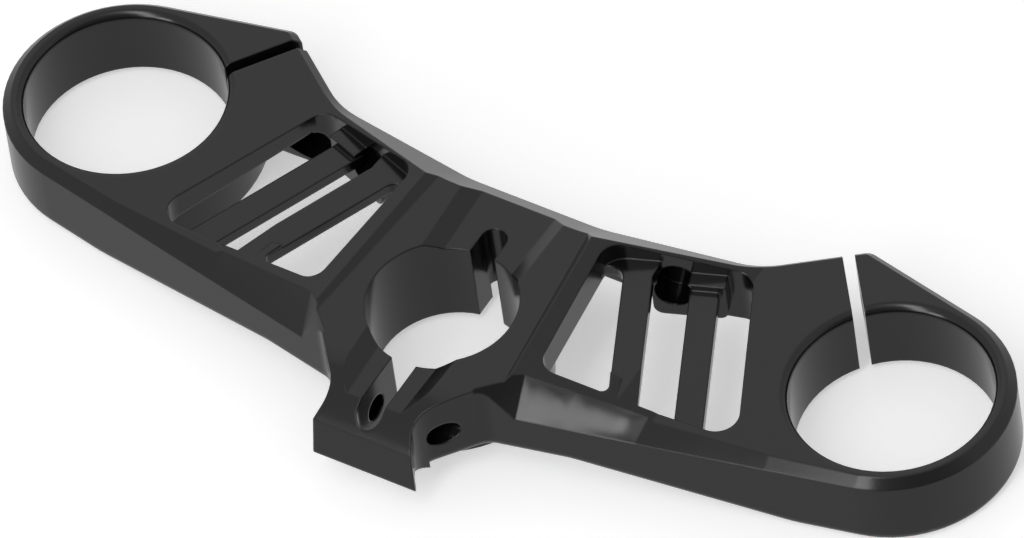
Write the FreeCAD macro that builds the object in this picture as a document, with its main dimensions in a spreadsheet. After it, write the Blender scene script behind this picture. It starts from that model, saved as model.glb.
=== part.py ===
import FreeCAD, Part
import math
import os

from FreeCAD import Placement, Rotation, Vector

# Motorcycle triple clamp, machined from one block of aluminium.
# X runs across the motorcycle, Y points away from the steering stem's pinch slot, Z is up.
# The body's own origin is the stem axis on the plane that the two fork clamps rest on; its
# placement then moves it down, so that the part's origin is the lower face of the stem boss.
# The clamp is symmetric about the plane X = 0, so the right half is built and then mirrored.

doc = FreeCAD.newDocument("TripleClamp")

# Driving dimensions, in millimetres and degrees.
SIZES = [
    ("fork_spacing", 216.0, "distance between the two fork tube axes"),
    ("stem_offset", 28.7, "fork axes ahead of the stem axis"),
    ("clamp_height", 21.8, "height of the fork clamps"),
    ("fork_bore", 50.0, "bore for the fork tube"),
    ("fork_ring", 60.6, "outer diameter of the fork clamp"),
    ("bore_lead_top", 2.2, "rounded mouth of the fork bore, top"),
    ("bore_lead_bottom", 2.0, "bevel at the fork bore's lower mouth"),
    ("arm_taper", 11.5, "angle of the straight edges that leave the fork clamps"),
    ("edge_bevel", 2.3, "depth of the bevel round the top edge"),
    ("foot_round", 3.0, "rounding of the bottom edge"),
    ("stock", 5.0, "spare height below the blank, machined off"),
    ("fork_slot", 3.0, "width of the slot that lets the fork clamp close"),
    ("fork_slot_angle", 37.4, "direction of that slot, from the Y axis"),
    ("fork_slot_shift", 4.6, "distance of the slot's centre line from the fork axis"),
    ("fork_slot_start", 10.0, "where that slot starts, inside the bore"),
    ("fork_slot_end", 60.0, "where that slot ends, past the ear"),
    ("back_edge", 14.3, "middle of the far edge, past the fork axes"),
    ("back_bend", 18.6, "where the far edge starts to rise"),
    ("back_bend_round", 40.0, "radius there"),
    ("ear_foot_x", 48.8, "where the far edge turns up into the clamp ear, inside the fork axis"),
    ("ear_foot_y", 20.3, "the same point, past the fork axes"),
    ("ear_foot_round", 22.0, "radius of that turn"),
    ("ear_tip_x", 26.8, "tip of the clamp ear, inside the fork axis"),
    ("ear_tip_round", 3.4, "radius of the ear's tip"),
    ("ear_bevel_run", 9.0, "length of the plain bevel beside the ear's tip"),
    ("neck_root_x", 22.3, "where the near edge of the arm meets the neck"),
    ("neck_root_round", 6.0, "radius there"),
    ("neck_waist_x", 10.8, "sharp corner behind the neck's narrowest place"),
    ("neck_waist_y", 7.4, "the same corner, behind the nose"),
    ("neck_waist_round", 7.5, "radius of the waist"),
    ("nose_half_width", 14.4, "half width of the nose"),
    ("nose_reach", 41.0, "nose, before the stem axis"),
    ("nose_lean", 1.3, "how far the nose's face leans back at its top"),
    ("nose_start", 17.7, "where the top starts to curve down, behind the nose"),
    ("nose_round", 20.1, "radius of that curve"),
    ("nose_face_top", 1.4, "upper end of the leaning face, below the fork clamps' top"),
    ("nose_foot", 8.0, "height of the lower end of the nose's lip"),
    ("nose_lip", 1.8, "thickness of that lip at its lower end"),
    ("nose_lip_back", 2.2, "back of the lip where it meets the arm's underside, behind the nose"),
    ("nose_lip_drop", 8.6, "that place, below the fork clamps' top"),
    ("nose_lip_root", 1.0, "rounding there"),
    ("nose_lip_round", 1.5, "rounding of the lip's lower front edge"),
    ("nose_under", 9.5, "where the underside starts to rise towards the lip, behind the nose"),
    ("arm_rise", 0.24, "slope of the arm's top, rising to the middle"),
    ("arm_rise_start", 46.5, "where the arm's top starts to rise, inside the fork axis"),
    ("crest", 22.0, "where the arm's slope would end without the recess"),
    ("recess_floor", 7.05, "floor of the middle recess, above the fork clamps"),
    ("recess_half_width", 21.6, "half width of the recess floor at the fork axes"),
    ("recess_spread", 0.105, "how fast the recess widens towards the nose"),
    ("dip_floor", 4.5, "floor of the dip along the middle"),
    ("dip_half_width", 9.9, "half width of the dip's floor at the fork axes"),
    ("dip_spread", 0.04, "how fast the dip's floor narrows towards the nose"),
    ("dip_top", 14.2, "half width of the dip at the recess floor"),
    ("under_flat", 42.0, "half width of the raised underside"),
    ("under_end", 11.0, "where the underside reaches the fork clamps' level, inside the fork axis"),
    ("under_lift", 7.2, "height of the raised underside"),
    ("under_bend", 30.0, "radius of the underside's two bends"),
    ("stem_bore", 37.8, "bore for the steering stem"),
    ("stem_boss", 50.0, "outer diameter of the stem boss"),
    ("boss_foot", 2.3, "underside of the stem boss"),
    ("stem_slot", 6.8, "width of the slots in the stem clamp"),
    ("stem_slot_back", 27.5, "far end of the slot"),
    ("nose_wall", 2.7, "wall between the near slot and the nose"),
    ("stem_bolt", 7.0, "hole of the stem's pinch bolt"),
    ("stem_bolt_y", 13.2, "that hole, behind the nose"),
    ("stem_bolt_z", 17.3, "height of that hole"),
    ("fork_bolt", 6.6, "hole of the fork clamp's pinch bolt"),
    ("fork_bolt_head", 11.0, "access bore for that bolt's head"),
    ("fork_bolt_z", 11.0, "height of that bolt"),
    ("fork_bolt_reach", 36.0, "distance of that bolt from the fork axis, along the slot"),
    ("ear_wall", 8.0, "wall between the bolt's head and the slot"),
    ("head_depth", 22.0, "depth of the access bore"),
    ("thread_depth", 24.0, "depth of the bolt's hole beyond the slot"),
    ("window_far_x", 27.0, "window's inner far corner, from the middle"),
    ("window_far_y", 4.4, "the same corner, past the fork axes"),
    ("window_far_round", 6.0, "radius there"),
    ("window_corner_x", 47.35, "window's outer far corner, inside the fork axis"),
    ("window_corner_y", 16.2, "the same corner, past the fork axes"),
    ("window_corner_round", 4.5, "radius there"),
    ("window_near_x", 25.3, "window's outer near corner, inside the fork axis"),
    ("window_near_y", 30.4, "the same corner, before the fork axes"),
    ("window_near_round", 5.5, "radius there"),
    ("window_bend_x", 60.0, "bend in the window's near side, from the middle"),
    ("window_bend_y", 31.7, "the same bend, before the fork axes"),
    ("window_inner_x", 31.3, "window's inner near corner, from the middle"),
    ("window_inner_y", 36.5, "the same corner, before the fork axes"),
    ("window_inner_round", 4.0, "radius there"),
    ("hollow_wall", 8.8, "wall between the fork bore and the hollow under the arm"),
    ("hollow_near_angle", 237.0, "near end of that wall, round the fork axis"),
    ("hollow_far_angle", 156.0, "far end of that wall"),
    ("hollow_far_x", 1.6, "far corner of the hollow under the arm, outside the window's corner"),
    ("hollow_far_y", 12.6, "the same corner, past the fork axes"),
    ("hollow_turn_x", 0.5, "next corner, inside the window's corner"),
    ("hollow_turn_y", 11.0, "the same corner, past the fork axes"),
    ("hollow_toe_in", 2.0, "inner near corner, inside the window's corner"),
    ("hollow_toe_out", 1.3, "outer near corner, outside the window's corner"),
    ("hollow_toe_y", 0.1, "those two corners, past the window's near corner"),
    ("deck_under_inner", 1.0, "underside of the deck at the inner end, below the clamps' top"),
    ("deck_under_outer", 6.0, "underside of the deck at the outer end"),
    ("deck_inner_x", 28.6, "that inner end, from the middle"),
    ("deck_outer_x", 38.0, "that outer end, inside the fork axis"),
    ("stem_hollow_inner", 8.5, "inner wall of the hollow beside the stem, from the middle"),
    ("stem_hollow_far", 10.3, "its far wall, past the fork axes"),
    ("stem_hollow_far_round", 3.0, "radius of its inner far corner"),
    ("stem_hollow_pad_round", 2.0, "radius of its corner at the pad"),
    ("stem_hollow_side", 2.0, "near end of its wall at the pad, past the fork axes"),
    ("stem_hollow_outer_x", 34.0, "its outer near corner, from the middle"),
    ("stem_hollow_outer_y", 36.0, "the same corner, before the fork axes"),
    ("stem_hollow_near_x", 15.0, "its inner near corner, from the middle"),
    ("stem_hollow_near_y", 39.3, "the same corner, before the fork axes"),
    ("stem_hollow_turn", 25.0, "near end of its inner wall, before the fork axes"),
    ("rib_width", 7.92, "width of a rib along X"),
    ("rib_slant", 0.464, "how far a rib leans in X for each millimetre of Y"),
    ("rib_depth", 3.1, "thickness of a rib"),
    ("rib_datum", 10.0, "place where the ribs' walls are given, before the fork axes"),
    ("rib_inner_x", 69.96, "inner rib's wall there, inside the fork axis"),
    ("rib_inner_top", 2.4, "top of the inner rib, above the fork clamps"),
    ("rib_inner_near", 34.6, "near end of the inner rib, before the fork axes"),
    ("rib_inner_far", 8.5, "far end of the inner rib, past the fork axes"),
    ("rib_outer_x", 52.6, "outer rib's wall, inside the fork axis"),
    ("rib_outer_top", -2.8, "top of the outer rib, above the fork clamps"),
    ("rib_outer_near", 34.0, "near end of the outer rib, before the fork axes"),
    ("rib_outer_far", 10.0, "far end of the outer rib, past the fork axes"),
    ("rib_root_round", 2.0, "rounded corner between the inner rib and the window's near side"),
    ("web_width", 3.2, "web along the window's far side, beside the inner rib"),
    ("web_leg", 4.2, "how far the web follows the rib"),
    ("web_round", 3.5, "rounded corner between web and rib"),
    ("web_far", 9.5, "far side of the web, past the fork axes"),
    ("pad_start", 37.0, "inner end of the pad on the window's far wall, from the middle"),
    ("pad_width", 18.5, "width of that pad"),
    ("pad_depth", 4.0, "how far that pad stands out"),
    ("pad_top", 0.9, "top of the pad, below the fork clamps' top"),
    ("pad_foot", 12.4, "underside of the pad, below the fork clamps' top"),
    ("pad_round", 2.5, "rounding of the pad's lower corners"),
    ("pad_hole", 9.6, "blind hole in the pad"),
    ("pad_hole_depth", 3.0, "how far that hole goes on beyond the pad"),
    ("pad_hole_along", 5.5, "that hole, from the pad's inner end"),
    ("pad_hole_drop", 4.0, "that hole, below the fork clamps' top"),
]

sheet = doc.addObject("Spreadsheet::Sheet", "Sizes")
for row, (alias, value, meaning) in enumerate(SIZES, start=1):
    sheet.set(f"A{row}", meaning)
    sheet.set(f"B{row}", str(value))
    sheet.setAlias(f"B{row}", alias)
doc.recompute()


def size(alias):
    return float(sheet.get(alias))


# How far cutters reach past the faces that they cut, and how far pieces are sunk into each other.
THROUGH = 400.0
ABOVE = 20.0
PAST = 5.0
PROUD = 1.0
SUNK = 0.06

body = doc.addObject("PartDesign::Body", "Clamp")
body.Label = "triple_clamp"
body.setExpression("Placement.Base.z", "-Sizes.boss_foot")

fork_x = size("fork_spacing") / 2
fork_y = size("stem_offset")
top = size("clamp_height")
ring_radius = size("fork_ring") / 2
taper = math.radians(size("arm_taper"))
nose_y = -size("nose_reach")
rise_start = fork_x - size("arm_rise_start")


def origin_plane(role):
    return next(f for f in body.Origin.OriginFeatures if f.Role == role)


def sketch(name, outline, plane="XY_Plane", offset=0.0, place=None):
    """A sketch on one of the body's planes, moved along its normal or placed freely."""
    sk = body.newObject("Sketcher::SketchObject", name)
    sk.AttachmentSupport = [(origin_plane(plane), "")]
    sk.MapMode = "FlatFace"
    sk.AttachmentOffset = place or Placement(Vector(0, 0, offset), Rotation())
    for piece in outline:
        sk.addGeometry(piece, False)
    return sk


def path(corners, closed=True):
    """Straight runs through the corners (x, y, radius), each corner rounded by an arc."""
    pieces = []
    count = len(corners)
    ends = []
    for i, (x, y, radius) in enumerate(corners):
        here = Vector(x, y, 0)
        if radius == 0 or (not closed and i in (0, count - 1)):
            ends.append((here, here, None))
            continue
        before = Vector(*corners[i - 1][:2], 0) - here
        after = Vector(*corners[(i + 1) % count][:2], 0) - here
        half = before.getAngle(after) / 2
        reach = radius / math.tan(half)
        start = here + before.normalize() * reach
        finish = here + after.normalize() * reach
        middle_way = (before + after).normalize()
        middle = here + middle_way * (radius / math.sin(half) - radius)
        ends.append((start, finish, Part.Arc(start, middle, finish)))
    for i in range(count):
        if ends[i][2]:
            pieces.append(ends[i][2])
        if i == count - 1 and not closed:
            break
        a, b = ends[i][1], ends[(i + 1) % count][0]
        if a.distanceToPoint(b) > 1e-6:
            pieces.append(Part.LineSegment(a, b))
    return pieces


def circle(x, y, radius):
    return [Part.Circle(Vector(x, y, 0), Vector(0, 0, 1), radius)]


def extrude(kind, name, profile, length=None, reverse=False, up_to=None):
    """A pad or a pocket; without a length it goes right through, both ways."""
    feature = body.newObject("PartDesign::" + kind, name)
    feature.Profile = profile
    feature.Reversed = reverse
    if up_to is not None:
        feature.Type = "UpToFace"
        feature.UpToFace = up_to
    elif length is None:
        feature.SideType = "Symmetric"
        feature.Length = THROUGH
    else:
        feature.setExpression("Length", length)
    doc.recompute()
    return feature


# Outline of the right half, seen from above.
apex_x = fork_x + ring_radius / math.sin(taper)
ear_tip_x = fork_x - size("ear_tip_x")
ear_foot_x = fork_x - size("ear_foot_x")
ear_tip_y = (apex_x - ear_tip_x) * math.tan(taper)
neck_root_y = -(apex_x - size("neck_root_x")) * math.tan(taper)
outline = [
    (0, fork_y + size("back_edge"), 0),
    (size("back_bend"), fork_y + size("back_edge"), size("back_bend_round")),
    (ear_foot_x, fork_y + size("ear_foot_y"), size("ear_foot_round")),
    (ear_tip_x, fork_y + ear_tip_y, size("ear_tip_round")),
    (apex_x, fork_y, ring_radius),
    (size("neck_root_x"), fork_y + neck_root_y, size("neck_root_round")),
    (size("neck_waist_x"), nose_y + size("neck_waist_y"), size("neck_waist_round")),
    (size("nose_half_width"), nose_y, 0),
    (0, nose_y, 0),
]
crest_height = size("arm_rise") * (rise_start - size("crest"))
blank = body.newObject("PartDesign::Pad", "Blank")
blank.Profile = sketch("BlankOutline", path(outline), offset=-size("stock"))
blank.setExpression("Length", (
    "Sizes.clamp_height + Sizes.stock + Sizes.arm_rise * "
    "(Sizes.fork_spacing / 2 - Sizes.arm_rise_start - Sizes.crest)"
))
doc.recompute()

# Underside: level under the fork clamps and raised under the arms.
lift, stock = size("under_lift"), size("stock")
under_end = fork_x - size("under_end")
beyond = fork_x + 2 * ring_radius
neck_end = nose_y + size("nose_under")
under = body.newObject("PartDesign::Pocket", "Underside")
under.Profile = sketch("UndersideProfile", path([
    (-PROUD, lift, 0),
    (size("under_flat"), lift, size("under_bend")),
    (under_end, 0, size("under_bend")),
    (beyond, 0, 0),
    (beyond, -stock - PROUD, 0),
    (-PROUD, -stock - PROUD, 0),
]), "XZ_Plane", offset=-neck_end)
under.Length = THROUGH
doc.recompute()

# The underside's edge is rounded before anything else is cut.
NEAR_BOTTOM = 1.2
SAME = 0.01


def underside(x):
    """Lowest height of the arm at one place."""
    slope = lift / (under_end - size("under_flat"))
    return min(lift, max(0.0, (under_end - x) * slope))


def edges_where(shape, test):
    return [f"Edge{number}" for number, edge in enumerate(shape.Edges, start=1) if test(edge)]


def is_bottom(edge):
    """An edge between the underside and the side walls; not a bend line and not on the middle plane."""
    ends = edge.Vertexes
    if edge.Curve.TypeId == "Part::GeomLine" and abs(ends[0].X - ends[-1].X) < SAME:
        return False
    if all(vertex.Y < neck_end + SAME for vertex in ends):
        return False
    return all(vertex.Z - underside(vertex.X) < NEAR_BOTTOM and vertex.Z > -SAME for vertex in ends)


base = body.Tip
rounding = body.newObject("PartDesign::Fillet", "BottomRounding")
rounding.Base = (base, edges_where(base.Shape, is_bottom))
rounding.setExpression("Radius", "Sizes.foot_round")
doc.recompute()

# The nose is a thin lip that hangs below the arms' underside; its face leans back.
nose_face_y = nose_y + size("nose_lean")
extrude("Pocket", "NoseFoot", sketch("NoseFootProfile", path([
    (neck_end, lift, 0),
    (nose_y + size("nose_lip_back"), top - size("nose_lip_drop"), size("nose_lip_root")),
    (nose_y + size("nose_lip"), size("nose_foot"), 0),
    (nose_y, size("nose_foot"), size("nose_lip_round")),
    (nose_face_y, top - size("nose_face_top"), 0),
    (nose_face_y, top + ABOVE, 0),
    (nose_y - PAST, top + ABOVE, 0),
    (nose_y - PAST, -stock - PROUD, 0),
    (neck_end, -stock - PROUD, 0),
]), "YZ_Plane"))

# Window through the arm.
window_far = Vector(size("window_far_x"), fork_y + size("window_far_y"), 0)
window_corner = Vector(fork_x - size("window_corner_x"), fork_y + size("window_corner_y"), 0)
window_near = Vector(fork_x - size("window_near_x"), fork_y - size("window_near_y"), 0)
window_bend = Vector(size("window_bend_x"), fork_y - size("window_bend_y"), 0)
window_inner = Vector(size("window_inner_x"), fork_y - size("window_inner_y"), 0)
extrude("Pocket", "Window", sketch("WindowOutline", path([
    (window_far.x, window_far.y, size("window_far_round")),
    (window_corner.x, window_corner.y, size("window_corner_round")),
    (window_near.x, window_near.y, size("window_near_round")),
    (window_bend.x, window_bend.y, 0),
    (window_inner.x, window_inner.y, size("window_inner_round")),
])))

# Hollow under the deck, from the window to the fork clamp; its ceiling slopes with the deck.
hollow_radius = size("fork_bore") / 2 + size("hollow_wall")
near_angle, far_angle = size("hollow_near_angle"), size("hollow_far_angle")


def on_ring(degrees):
    angle = math.radians(degrees)
    return Vector(fork_x + hollow_radius * math.cos(angle), fork_y + hollow_radius * math.sin(angle), 0)


ring_near, ring_far = on_ring(near_angle), on_ring(far_angle)
toe_y = window_near.y + size("hollow_toe_y")
hollow = [Part.Arc(ring_near, on_ring((near_angle + far_angle) / 2), ring_far)] + path([
    (ring_far.x, ring_far.y, 0),
    (window_corner.x + size("hollow_far_x"), fork_y + size("hollow_far_y"), 0),
    (window_corner.x - size("hollow_turn_x"), fork_y + size("hollow_turn_y"), 0),
    (window_near.x - size("hollow_toe_in"), toe_y, 0),
    (window_near.x + size("hollow_toe_out"), toe_y, 0),
    (ring_near.x, ring_near.y, 0),
], closed=False)
deck_drop = size("deck_under_outer") - size("deck_under_inner")
deck_run = fork_x - size("deck_outer_x") - size("deck_inner_x")
deck = body.newObject("PartDesign::Plane", "DeckUnderside")
deck.AttachmentSupport = [(origin_plane("XY_Plane"), "")]
deck.MapMode = "FlatFace"
deck.AttachmentOffset = Placement(
    Vector(size("deck_inner_x"), 0, top - size("deck_under_inner")),
    Rotation(Vector(0, 1, 0), math.degrees(math.atan2(deck_drop, deck_run))),
)
doc.recompute()
extrude("Pocket", "OuterHollow", sketch("OuterHollowOutline", hollow, offset=-PROUD),
        reverse=True, up_to=(deck, [""]))

# Hollow beside the stem.
pad_start = size("pad_start")
stem_side, stem_far = size("stem_hollow_inner"), fork_y + size("stem_hollow_far")
extrude("Pocket", "InnerHollow", sketch("InnerHollowOutline", path([
    (stem_side, stem_far, size("stem_hollow_far_round")),
    (pad_start, stem_far, size("stem_hollow_pad_round")),
    (pad_start, fork_y + size("stem_hollow_side"), 0),
    (size("stem_hollow_outer_x"), fork_y - size("stem_hollow_outer_y"), 0),
    (size("stem_hollow_near_x"), fork_y - size("stem_hollow_near_y"), 0),
    (stem_side, fork_y - size("stem_hollow_turn"), 0),
])), "Sizes.clamp_height - Sizes.deck_under_inner", reverse=True)

# Pad on the window's far wall, with a blind hole.
wall_angle = math.atan2(window_corner.y - window_far.y, window_corner.x - window_far.x)
wall_slope = math.tan(wall_angle)
facing = Rotation(Vector(0, 0, 1), math.degrees(wall_angle)) * Rotation(Vector(1, 0, 0), 90)
outwards = Vector(math.sin(wall_angle), -math.cos(wall_angle), 0)
pad_corner = Vector(pad_start, window_far.y + (pad_start - window_far.x) * wall_slope, top)
pad_root = 0.5
pad_plan = [
    (0, -size("pad_foot"), size("pad_round")),
    (size("pad_width"), -size("pad_foot"), size("pad_round")),
    (size("pad_width"), -size("pad_top"), 0),
    (0, -size("pad_top"), 0),
]
extrude("Pad", "WallPad", sketch(
    "WallPadFace", path(pad_plan), place=Placement(pad_corner - outwards * pad_root, facing)),
    f"Sizes.pad_depth + {pad_root}")
extrude("Pocket", "WallPadHole", sketch(
    "WallPadHoleFace",
    circle(size("pad_hole_along"), -size("pad_hole_drop"), size("pad_hole") / 2),
    place=Placement(pad_corner + outwards * (size("pad_depth") + PROUD), facing)),
    f"Sizes.pad_depth + Sizes.pad_hole_depth + {PROUD}")

# Two level ribs across the window; both ends lie inside the arm's walls.
slant, width, datum = size("rib_slant"), size("rib_width"), size("rib_datum")


def rib_wall(start_x, y):
    """X of a rib's inner wall at a distance from the fork axes."""
    return start_x - slant * (y + datum)


def rib(name, place):
    """A level bar between its near and far end; place is inner or outer."""
    start_x = fork_x - size(f"rib_{place}_x")
    near_end, far_end = -size(f"rib_{place}_near"), size(f"rib_{place}_far")
    plan = [
        (rib_wall(start_x, near_end), fork_y + near_end, 0),
        (rib_wall(start_x, near_end) + width, fork_y + near_end, 0),
        (rib_wall(start_x, far_end) + width, fork_y + far_end, 0),
        (rib_wall(start_x, far_end), fork_y + far_end, 0),
    ]
    low = top + size(f"rib_{place}_top") - size("rib_depth")
    return extrude("Pad", name, sketch(name + "Plan", path(plan), offset=low), "Sizes.rib_depth")


rib("InnerRib", "inner")
rib("OuterRib", "outer")

# Rounded corner where the inner rib meets the window's near side, sunk a little into both.
inner_x = fork_x - size("rib_inner_x")
rib_foot = top + size("rib_inner_top") - size("rib_depth")


def meets_rib(point, slope):
    """Where a line through a point, with this slope, meets the inner rib's inner wall."""
    across = slope * (inner_x - datum * slant - point.x)
    y = (point.y - fork_y + across) / (1 + slope * slant)
    return Vector(rib_wall(inner_x, y), fork_y + y, 0)


root_leg, root_inside, root_spare = 6.0, 3.0, 2.0
side_slope = (window_bend.y - window_inner.y) / (window_bend.x - window_inner.x)
root = meets_rib(window_inner, side_slope) + Vector(SUNK, -SUNK, 0)
extrude("Pad", "InnerRibRoot", sketch("InnerRibRootPlan", path([
    (root.x - root_leg, root.y - root_leg * side_slope, 0),
    (root.x, root.y, size("rib_root_round")),
    (root.x - root_leg * slant, root.y + root_leg, 0),
    (root.x - root_leg * slant + root_inside, root.y + root_leg, 0),
    (root.x + root_inside, root.y - root_inside, 0),
    (root.x - root_leg, root.y - root_leg * side_slope - root_spare, 0),
]), offset=rib_foot), f"Sizes.rib_depth + {root_spare}")

# Web along the window's far side, from its inner corner to the inner rib.
web_leg = size("web_leg")
web_inset, web_inside = 0.4, 3.0
web_edge = window_far - Vector(0, size("web_width"), 0)
meet = meets_rib(web_edge, wall_slope)
leg_x = rib_wall(inner_x, meet.y - fork_y - web_leg)
extrude("Pad", "InnerRibWeb", sketch("InnerRibWebPlan", path([
    (web_edge.x - PROUD, web_edge.y - wall_slope * PROUD, 0),
    (meet.x, meet.y, size("web_round")),
    (leg_x, meet.y - web_leg, 0),
    (leg_x + web_inside, meet.y - web_leg, 0),
    (meet.x + width - web_inset, meet.y + 2 * web_inset, 0),
    (meet.x + width - 2 * web_inset, fork_y + size("web_far"), 0),
    (web_edge.x - PROUD, fork_y + size("web_far"), 0),
]), offset=rib_foot), "Sizes.rib_depth")

# Boss round the stem bore.
boss_radius = size("stem_boss") / 2
boss_plan = [
    Part.Arc(Vector(0, -boss_radius, 0), Vector(boss_radius, 0, 0), Vector(0, boss_radius, 0)),
    Part.LineSegment(Vector(0, boss_radius, 0), Vector(0, -boss_radius, 0)),
]
extrude("Pad", "StemBoss", sketch("StemBossPlan", boss_plan, offset=size("boss_foot")),
        "Sizes.clamp_height - Sizes.boss_foot")

# Top: level over the fork clamps, rising towards the middle.
extrude("Pocket", "ArmSlope", sketch("ArmProfile", path([
    (size("crest"), top + crest_height, 0),
    (rise_start, top, 0),
    (beyond, top, 0),
    (beyond, top + ABOVE, 0),
    (size("crest"), top + ABOVE, 0),
]), "XZ_Plane"))


def loft_cut(name, profiles, ruled=False):
    feature = body.newObject("PartDesign::SubtractiveLoft", name)
    feature.Profile = profiles[0]
    feature.Sections = profiles[1:]
    feature.Ruled = ruled
    doc.recompute()
    return feature


# Recess in the middle of the top, with 45 degree walls; the dip along its middle.
near_y, far_y = nose_y - PAST, fork_y + ABOVE
wall_rise = 4.0


def recess_half(name, height, floor_half, spread, grow):
    """Half of a tapering recess in plan, at one height, widened by grow."""
    near_x = floor_half + spread * (fork_y - near_y) + grow
    far_x = floor_half + spread * (fork_y - far_y) + grow
    plan = [(-PROUD, near_y, 0), (near_x, near_y, 0), (far_x, far_y, 0), (-PROUD, far_y, 0)]
    return sketch(name, path(plan), offset=top + height)


floor, dip = size("recess_floor"), size("dip_floor")
recess_half_width, recess_spread = size("recess_half_width"), size("recess_spread")
loft_cut("Recess", [
    recess_half("RecessFloor", floor, recess_half_width, recess_spread, 0),
    recess_half("RecessTop", floor + wall_rise, recess_half_width, recess_spread, wall_rise),
])
ramp = (size("dip_top") - size("dip_half_width")) / (floor - dip)
dip_half_width, dip_spread = size("dip_half_width"), -size("dip_spread")
loft_cut("Dip", [
    recess_half("DipFloor", dip, dip_half_width, dip_spread, 0),
    recess_half("DipTop", dip + wall_rise, dip_half_width, dip_spread, wall_rise * ramp),
])

# Nose: its top curves down to the front face.
curve_y = nose_y + size("nose_start")
curve = size("nose_round")
turn_down = math.asin((curve_y - nose_face_y) / curve)


def on_curve(angle):
    return Vector(curve_y - curve * math.sin(angle), top + floor - curve * (1 - math.cos(angle)), 0)


curve_end = on_curve(turn_down)
nose_top = [Part.Arc(curve_end, on_curve(turn_down / 2), on_curve(0))] + path([
    (curve_y, top + floor, 0),
    (curve_y, top + ABOVE, 0),
    (nose_y - PAST, top + ABOVE, 0),
    (nose_y - PAST, curve_end.y, 0),
    (curve_end.x, curve_end.y, 0),
], closed=False)
extrude("Pocket", "NoseTop", sketch("NoseTopProfile", nose_top, "YZ_Plane"))

# Bevel of 45 degrees along the far side; where the arm stands higher it becomes a broad slope.
bevel = size("edge_bevel")
bevel_z = top - bevel
outside = 1.5
slope_depth = 12.5
bevel_depth = bevel + 0.1


def sweep_cut(name, spine_corners, wedge, place):
    spine = sketch(name + "Path", path(spine_corners, closed=False), offset=bevel_z)
    feature = body.newObject("PartDesign::SubtractivePipe", name)
    feature.Profile = sketch(name + "Wedge", path(wedge), place=place)
    feature.Spine = spine
    feature.Mode = "Standard"
    feature.Transition = "Right corner"
    doc.recompute()
    return feature


ear_angle = math.atan2(ear_tip_y - size("ear_foot_y"), ear_tip_x - ear_foot_x)
ear_middle = (
    ear_tip_x - size("ear_bevel_run") * math.cos(ear_angle),
    fork_y + ear_tip_y - size("ear_bevel_run") * math.sin(ear_angle),
    0,
)
upright = Rotation(Vector(0, 0, 1), 90) * Rotation(Vector(1, 0, 0), 90)
sweep_cut(
    "FarSlope",
    [(-PROUD, fork_y + size("back_edge"), 0)] + outline[1:3] + [ear_middle],
    [(outside, -outside, 0), (outside, slope_depth, 0), (-slope_depth, slope_depth, 0)],
    Placement(Vector(-PROUD, fork_y + size("back_edge"), bevel_z), upright),
)

# The same bevel round the ear's tip and the fork clamp.
ear_run = Rotation(Vector(0, 0, 1), math.degrees(ear_angle) + 90) * Rotation(Vector(1, 0, 0), 90)
ring_end = fork_x + ring_radius * math.sin(taper) - 2 * PROUD
ring_end_y = fork_y - (apex_x - ring_end) * math.tan(taper)
sweep_cut(
    "ClampBevel",
    [ear_middle, outline[3], outline[4], (ring_end, ring_end_y, 0)],
    [(outside, -outside, 0), (outside, bevel_depth, 0), (-bevel_depth, bevel_depth, 0)],
    Placement(Vector(ear_middle[0], ear_middle[1], bevel_z), ear_run),
)

# Near side of the arm: a ruled face that is steep beside the neck and flattens to the bevel.
over_face = 0.4
over_arm = 14.0


def near_edge_y(x):
    return fork_y - (apex_x - x) * math.tan(taper)


def arm_top(x):
    return top + size("arm_rise") * max(0, rise_start - x)


def near_section(x, low_y, low_z, high_y, high_z):
    """Wedge outside the line from the lower to the upper edge of the face, at one X."""
    run, rise = high_y - low_y, high_z - low_z
    back, ahead = outside / run, over_face / run
    wedge = [
        (low_y - back * run, low_z - back * rise, 0),
        (high_y + ahead * run, high_z + ahead * rise, 0),
        (high_y + ahead * run, top + over_arm, 0),
        (low_y - back * run, top + over_arm, 0),
    ]
    return sketch(f"NearFace{int(x)}", path(wedge), "YZ_Plane", x)


# Where the face starts at the neck: X, both edges before the arm's near edge, the lower edge's height.
neck_x, neck_low, neck_high, neck_rise = 21.0, 1.5, 0.2, 5.8
stations = [near_section(
    neck_x, near_edge_y(neck_x) - neck_low, top + neck_rise, near_edge_y(neck_x) - neck_high, top + floor)]
# Width of the face in plan, along the arm.
FACE_WIDTHS = [
    (30.0, 6.6),
    (43.0, 6.85),
    (fork_x - 48.0, 7.1),
    (fork_x - 16.0, 2.95),
    (fork_x + 10.0, bevel),
]
for x, face_width in FACE_WIDTHS:
    low = near_edge_y(x)
    stations.append(near_section(x, low, bevel_z, low + face_width, arm_top(x)))
loft_cut("NearFace", stations, ruled=True)

# Fork bore with a rounded upper mouth and a bevelled lower one, cut by a revolved profile.
bore = size("fork_bore") / 2
lead_top, lead_low = size("bore_lead_top"), size("bore_lead_bottom")
half_way = 1 - math.sqrt(0.5)
mouth_start = Vector(bore, top - lead_top, 0)
mouth_middle = Vector(bore + lead_top * half_way, top - lead_top * half_way, 0)
mouth_end = Vector(bore + lead_top, top, 0)
bore_profile = [Part.Arc(mouth_start, mouth_middle, mouth_end)] + path([
    (mouth_end.x, mouth_end.y, 0),
    (mouth_end.x, top + PROUD, 0),
    (0, top + PROUD, 0),
    (0, -PROUD, 0),
    (bore + lead_low, -PROUD, 0),
    (bore + lead_low, 0, 0),
    (bore, lead_low, 0),
    (mouth_start.x, mouth_start.y, 0),
], closed=False)
fork_axis = Placement(Vector(fork_x, 0, -fork_y), Rotation())
bore_sketch = sketch("ForkBoreProfile", bore_profile, "XZ_Plane", place=fork_axis)
groove = body.newObject("PartDesign::Groove", "ForkBore")
groove.Profile = bore_sketch
groove.ReferenceAxis = (bore_sketch, ["V_Axis"])
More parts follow.
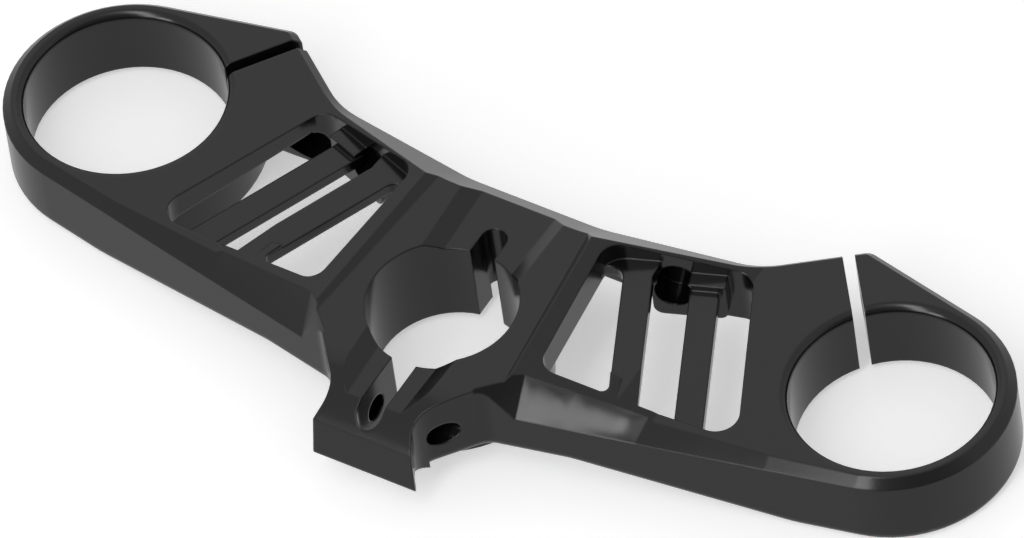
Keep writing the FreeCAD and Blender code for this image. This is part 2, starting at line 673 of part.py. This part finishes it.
groove.Angle = 360
doc.recompute()

# Slot that lets the fork clamp close, through the ear.
turn = math.radians(size("fork_slot_angle"))
along = Vector(-math.sin(turn), math.cos(turn), 0)
across = Vector(-math.cos(turn), -math.sin(turn), 0)
slot_line = Vector(fork_x, fork_y, 0) + across * size("fork_slot_shift")
slot_start = slot_line + along * size("fork_slot_start")
slot_end = slot_line + along * size("fork_slot_end")
half_slot = across * (size("fork_slot") / 2)
slot_plan = [slot_start + half_slot, slot_end + half_slot, slot_end - half_slot, slot_start - half_slot]
extrude("Pocket", "ForkSlot", sketch("ForkSlotPlan", path([(p.x, p.y, 0) for p in slot_plan])))

# Bore for the steering stem and the two slots beside it.
extrude("Pocket", "StemBore", sketch("StemBorePlan", circle(0, 0, size("stem_bore") / 2)))
half = size("stem_slot") / 2
slot_back, slot_front = size("stem_slot_back"), nose_y + size("nose_wall")
back_turn, front_turn = slot_back - half, slot_front + half
slot = [
    Part.LineSegment(Vector(half, front_turn, 0), Vector(half, back_turn, 0)),
    Part.Arc(Vector(half, back_turn, 0), Vector(0, slot_back, 0), Vector(-half, back_turn, 0)),
    Part.LineSegment(Vector(-half, back_turn, 0), Vector(-half, front_turn, 0)),
    Part.Arc(Vector(-half, front_turn, 0), Vector(0, slot_front, 0), Vector(half, front_turn, 0)),
]
extrude("Pocket", "StemSlot", sketch("StemSlotPlan", slot))

# Pinch bolt holes.
extrude("Pocket", "StemBolt", sketch(
    "StemBoltPlan", circle(nose_y + size("stem_bolt_y"), size("stem_bolt_z"), size("stem_bolt") / 2),
    "YZ_Plane"))
bolt_turn = Rotation(Vector(0, 0, 1), size("fork_slot_angle")) * Rotation(Vector(0, 1, 0), 90)
slot_point = slot_line + along * size("fork_bolt_reach")
slot_point.z = size("fork_bolt_z")
extrude("Pocket", "ForkBoltAccess", sketch(
    "ForkBoltAccessPlan", circle(0, 0, size("fork_bolt_head") / 2),
    place=Placement(slot_point + across * size("ear_wall"), bolt_turn)), "Sizes.head_depth")
extrude("Pocket", "ForkBolt", sketch(
    "ForkBoltPlan", circle(0, 0, size("fork_bolt") / 2),
    place=Placement(slot_point - across * size("thread_depth"), bolt_turn)),
    f"Sizes.thread_depth + Sizes.ear_wall + {PROUD}")

# The left half.
mirrored = body.newObject("PartDesign::Mirrored", "LeftHalf")
mirrored.TransformMode = "Whole shape"
mirrored.MirrorPlane = (origin_plane("YZ_Plane"), [""])
doc.recompute()
body.Tip = mirrored
doc.recompute()

for obj in doc.Objects:
    if "Invalid" in obj.State or "Error" in obj.State:
        raise RuntimeError(obj.Name + " failed: " + str(obj.State))

os.makedirs("parts", exist_ok=True)
body.Shape.exportStep("parts/" + body.Label + ".step")
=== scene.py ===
# %% [markdown]
# # A motorcycle triple clamp in black anodised aluminium
# The shape is already finished: it comes from the CAD model, in metres, and stays where it is. This
# lesson gives it the skin of the real part, a studio to stand in and the camera of the photograph.

# %% Load the frame and measure it
import math

import bpy
from mathutils import Matrix, Vector


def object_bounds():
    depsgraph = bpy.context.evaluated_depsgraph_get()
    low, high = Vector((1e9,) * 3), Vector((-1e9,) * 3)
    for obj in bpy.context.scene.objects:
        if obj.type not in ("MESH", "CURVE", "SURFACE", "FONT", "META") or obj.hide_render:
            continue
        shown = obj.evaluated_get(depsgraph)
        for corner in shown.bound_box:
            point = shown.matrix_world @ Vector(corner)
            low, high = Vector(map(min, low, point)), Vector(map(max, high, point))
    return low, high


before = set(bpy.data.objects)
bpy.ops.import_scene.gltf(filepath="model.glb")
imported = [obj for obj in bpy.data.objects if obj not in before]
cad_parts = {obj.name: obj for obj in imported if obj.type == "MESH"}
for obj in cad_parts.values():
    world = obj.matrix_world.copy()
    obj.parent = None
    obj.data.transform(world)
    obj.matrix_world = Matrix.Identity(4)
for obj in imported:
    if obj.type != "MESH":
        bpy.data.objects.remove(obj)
cad_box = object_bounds()
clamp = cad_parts["triple_clamp"]
print("clamp box", [[round(c, 4) for c in corner] for corner in cad_box])

# %% [markdown]
# Colours are written as they look on a screen, in sRGB hex. Blender's shaders work with linear light, so
# one function turns the first into the second. Another adds a shader node with its settings and links.

# %% Colour and node helpers
def linear(hex_colour):
    """sRGB hex, such as #1c1c1e, as linear RGBA."""
    channels = [int(hex_colour[i:i + 2], 16) / 255 for i in (1, 3, 5)]
    return [c / 12.92 if c <= 0.04045 else ((c + 0.055) / 1.055) ** 2.4 for c in channels] + [1.0]


def add_node(tree, kind, inputs=None, **settings):
    """Adds a node with these settings. Each named input gets a value, or a link from an output."""
    node = tree.nodes.new(kind)
    for name, value in settings.items():
        setattr(node, name, value)
    for name, value in (inputs or {}).items():
        if isinstance(value, bpy.types.NodeSocket):
            tree.links.new(value, node.inputs[name])
        else:
            node.inputs[name].default_value = value
    return node


# %% [markdown]
# The clamp is aluminium, cut from the solid by a milling machine, finely blasted and then anodised: its
# skin is a hard, clear layer of oxide, dyed black. The dye swallows almost all light that enters it, so
# no bare metal shows and the material isn't metallic. What the eye gets is the gloss of the oxide: weak
# where a face is seen straight on, stronger where it is seen at a slant. Fine blasting makes that gloss
# satin, and its grain is a bump. Handling leaves broad patches that are a little duller, so the roughness
# varies slowly over the surface. Sharp edges are broken by hand before anodising, and the Bevel node
# gives them that small round, which catches a line of light.

# %% Black anodised machined aluminium
MM = 0.001
DYED_BLACK = "#0d0d0e"
SMUDGE_SIZE = 18 * MM
SATIN_GLOSS = (0.15, 0.20)  # roughness of a clean and of a smudged patch
BROKEN_EDGE = 0.7 * MM
BLAST_GRAIN = 0.12 * MM
# The real grain is half as wide as a pixel of the render and too fine to show, so it is drawn coarser.
GRAIN_DRAWN = 8 * BLAST_GRAIN
GRAIN_STRENGTH = 0.03

anodised = bpy.data.materials.new("black_anodised_machined_aluminium")
anodised.use_nodes = True
tree = anodised.node_tree
skin = tree.nodes["Principled BSDF"]
skin.inputs["Metallic"].default_value = 0.0
skin.inputs["Base Color"].default_value = linear(DYED_BLACK)
where = add_node(tree, "ShaderNodeTexCoord").outputs["Object"]
smudges = add_node(tree, "ShaderNodeTexNoise", {"Vector": where, "Scale": 1 / SMUDGE_SIZE, "Detail": 3.0})
gloss = add_node(tree, "ShaderNodeMapRange",
                 {"Value": smudges.outputs["Fac"], "To Min": SATIN_GLOSS[0], "To Max": SATIN_GLOSS[1]})
tree.links.new(gloss.outputs["Result"], skin.inputs["Roughness"])
edge = add_node(tree, "ShaderNodeBevel", {"Radius": BROKEN_EDGE}, samples=6)
grain = add_node(tree, "ShaderNodeTexNoise", {"Vector": where, "Scale": 1 / GRAIN_DRAWN, "Detail": 2.0})
bump = add_node(tree, "ShaderNodeBump", {"Height": grain.outputs["Fac"], "Strength": GRAIN_STRENGTH,
                                         "Distance": BLAST_GRAIN, "Normal": edge.outputs["Normal"]})
tree.links.new(bump.outputs["Normal"], skin.inputs["Normal"])
clamp.data.materials.clear()
clamp.data.materials.append(anodised)
print("material", anodised.name, len(tree.nodes), "nodes")

# %% [markdown]
# The studio is a white table that runs to the horizon, under a white sky. Three kinds of ray meet them. A
# camera ray sees plain white: the sky at full strength, and the table with a little glow on top of the
# light that falls there. A ray that the shiny clamp sends back sees an even light grey. All other rays
# see the lit paper and the sky's own light, so the clamp is lit softly and the table keeps its shadow.

# %% A shader that tells kinds of ray apart
def shader_by_ray(tree, lighting, mirrored, seen):
    """Camera rays get the last shader, rays from a shiny surface the second, and all others the first."""
    rays = add_node(tree, "ShaderNodeLightPath")
    result = lighting
    for kind, shader in (("Is Glossy Ray", mirrored), ("Is Camera Ray", seen)):
        mix = add_node(tree, "ShaderNodeMixShader", {"Fac": rays.outputs[kind]})
        # The two shaders of a mix share one input name, so they are linked by number.
        tree.links.new(result.outputs[0], mix.inputs[1])
        tree.links.new(shader.outputs[0], mix.inputs[2])
        result = mix
    return result.outputs[0]


# %% White table
FLOOR_HALF = 6.0
TABLE_GLOW = 0.48
TABLE_MIRRORED = 0.62
PAPER = "#e6e6e6"
WHITE = linear("#ffffff")
floor_z = cad_box[0][2]
floor_mesh = bpy.data.meshes.new("floor")
corners = [(x * FLOOR_HALF, y * FLOOR_HALF, floor_z) for x, y in [(-1, -1), (1, -1), (1, 1), (-1, 1)]]
floor_mesh.from_pydata(corners, [], [(0, 1, 2, 3)])
floor = bpy.data.objects.new("floor", floor_mesh)
bpy.context.collection.objects.link(floor)

paper = bpy.data.materials.new("matt_white_paper")
paper.use_nodes = True
tree = paper.node_tree
tree.nodes.clear()
matt = add_node(tree, "ShaderNodeBsdfDiffuse", {"Color": linear(PAPER)})
glow = add_node(tree, "ShaderNodeEmission", {"Color": WHITE, "Strength": TABLE_GLOW})
mirrored = add_node(tree, "ShaderNodeEmission", {"Color": WHITE, "Strength": TABLE_MIRRORED})
both = add_node(tree, "ShaderNodeAddShader")
tree.links.new(matt.outputs[0], both.inputs[0])
tree.links.new(glow.outputs[0], both.inputs[1])
add_node(tree, "ShaderNodeOutputMaterial", {"Surface": shader_by_ray(tree, matt, mirrored, both)})
floor_mesh.materials.append(paper)
print("table top at", round(floor_z, 5))

# %% [markdown]
# A studio is seldom white all round. This one is dim on the right-hand side in front, where no screen
# hangs, so the facets that mirror that side come out darker than their neighbours. The dimming fades in
# with the cosine of the angle between a direction and the middle of the dim side.

# %% White sky with a dim side
SKY_LIGHT = 0.5
SKY_MIRRORED = 0.66
DIM_SIDE = (0.75, -0.64, 0.15)
DIM_SHARE = 0.35
DIM_START = 0.6  # cosine at which the dimming starts
DIM_FULL = 0.9  # cosine from which only DIM_SHARE of the sky is left
world = bpy.data.worlds.new("white_sky")
bpy.context.scene.world = world
world.use_nodes = True
tree = world.node_tree
tree.nodes.clear()
direction = add_node(tree, "ShaderNodeTexCoord").outputs["Generated"]
facing = add_node(tree, "ShaderNodeVectorMath", operation="DOT_PRODUCT")
# The two vectors of a dot product share one name too. Both have length 1, so it gives the cosine.
tree.links.new(direction, facing.inputs[0])
facing.inputs[1].default_value = Vector(DIM_SIDE).normalized()
dimming = add_node(tree, "ShaderNodeMapRange",
                   {"Value": facing.outputs["Value"], "From Min": DIM_START, "From Max": DIM_FULL,
                    "To Min": SKY_MIRRORED, "To Max": SKY_MIRRORED * DIM_SHARE})
light = add_node(tree, "ShaderNodeBackground", {"Color": WHITE, "Strength": SKY_LIGHT})
mirrored = add_node(tree, "ShaderNodeBackground", {"Color": WHITE, "Strength": dimming.outputs["Result"]})
seen = add_node(tree, "ShaderNodeBackground", {"Color": WHITE, "Strength": 1.0})
add_node(tree, "ShaderNodeOutputWorld", {"Surface": shader_by_ray(tree, light, mirrored, seen)})
print("sky", SKY_LIGHT, "as light,", SKY_MIRRORED, "in reflections, dim towards", DIM_SIDE)

# %% [markdown]
# The camera stands far away with a very long lens, because the photograph shows almost no perspective.
# Its place is three angles, a distance and the point it looks at.

# %% Camera of the photograph
AZIMUTH, ELEVATION, ROLL = math.radians(37.097), math.radians(49.302), math.radians(-8.692)
DISTANCE = 5.5028
AIM = Vector((0.003955, 0.024412, 0.014695))
SENSOR_WIDTH = 36  # millimetres, as Blender states lenses
FOCAL_LENGTH = 800
FARTHEST_SEEN = 100
back = Vector((math.sin(AZIMUTH) * math.cos(ELEVATION),
               -math.cos(AZIMUTH) * math.cos(ELEVATION),
               math.sin(ELEVATION)))
level = Vector((math.cos(AZIMUTH), math.sin(AZIMUTH), 0))
upward = back.cross(level)
right = level * math.cos(ROLL) + upward * math.sin(ROLL)
up = back.cross(right)
lens = bpy.data.cameras.new("camera")
lens.sensor_width = SENSOR_WIDTH
lens.lens = FOCAL_LENGTH
lens.clip_end = FARTHEST_SEEN
camera = bpy.data.objects.new("camera", lens)
bpy.context.collection.objects.link(camera)
turn = Matrix((right, up, back)).transposed().to_4x4()
camera.matrix_world = Matrix.Translation(AIM + back * DISTANCE) @ turn
bpy.context.scene.camera = camera
bpy.context.scene.view_settings.view_transform = "Standard"
print("camera", DISTANCE, "m away with a lens of", FOCAL_LENGTH, "mm")

# %% [markdown]
# Four soft lamps. A tall narrow one stands in front, where the slanted face beside the neck of the right
# arm mirrors it: it gives that face its bright patch. A weaker strip overhead lets the patch fade out,
# and a low one draws a line of light on the arm's lower edge. The last is a wide, weak screen behind and
# above, which the level top faces mirror evenly.

# %% Lamps
def soft_lamp(name, direction, distance, width, height, power):
    """A rectangular lamp that stands in this direction from the clamp and faces it, in metres and watts."""
    data = bpy.data.lights.new(name, "AREA")
    data.shape = "RECTANGLE"
    data.size = width
    data.size_y = height
    data.energy = power
    lamp = bpy.data.objects.new(name, data)
    bpy.context.collection.objects.link(lamp)
    toward = Vector(direction).normalized()
    lamp.location = AIM + toward * distance
    lamp.rotation_euler = toward.to_track_quat("Z", "Y").to_euler()
    print(name, "at", [round(c, 3) for c in lamp.location])


soft_lamp("tall_front_lamp", direction=(0.02, -0.77, 0.64), distance=3.0,
          width=0.66, height=3.6, power=31)
soft_lamp("overhead_strip", direction=(0.0, -0.27, 0.96), distance=3.0,
          width=0.8, height=1.3, power=3)
soft_lamp("low_front_lamp", direction=(-0.21, -0.95, 0.21), distance=3.0,
          width=0.75, height=1.2, power=13)
soft_lamp("high_back_screen", direction=(-0.40, 0.52, 0.76), distance=2.0,
          width=1.3, height=1.3, power=1.2)
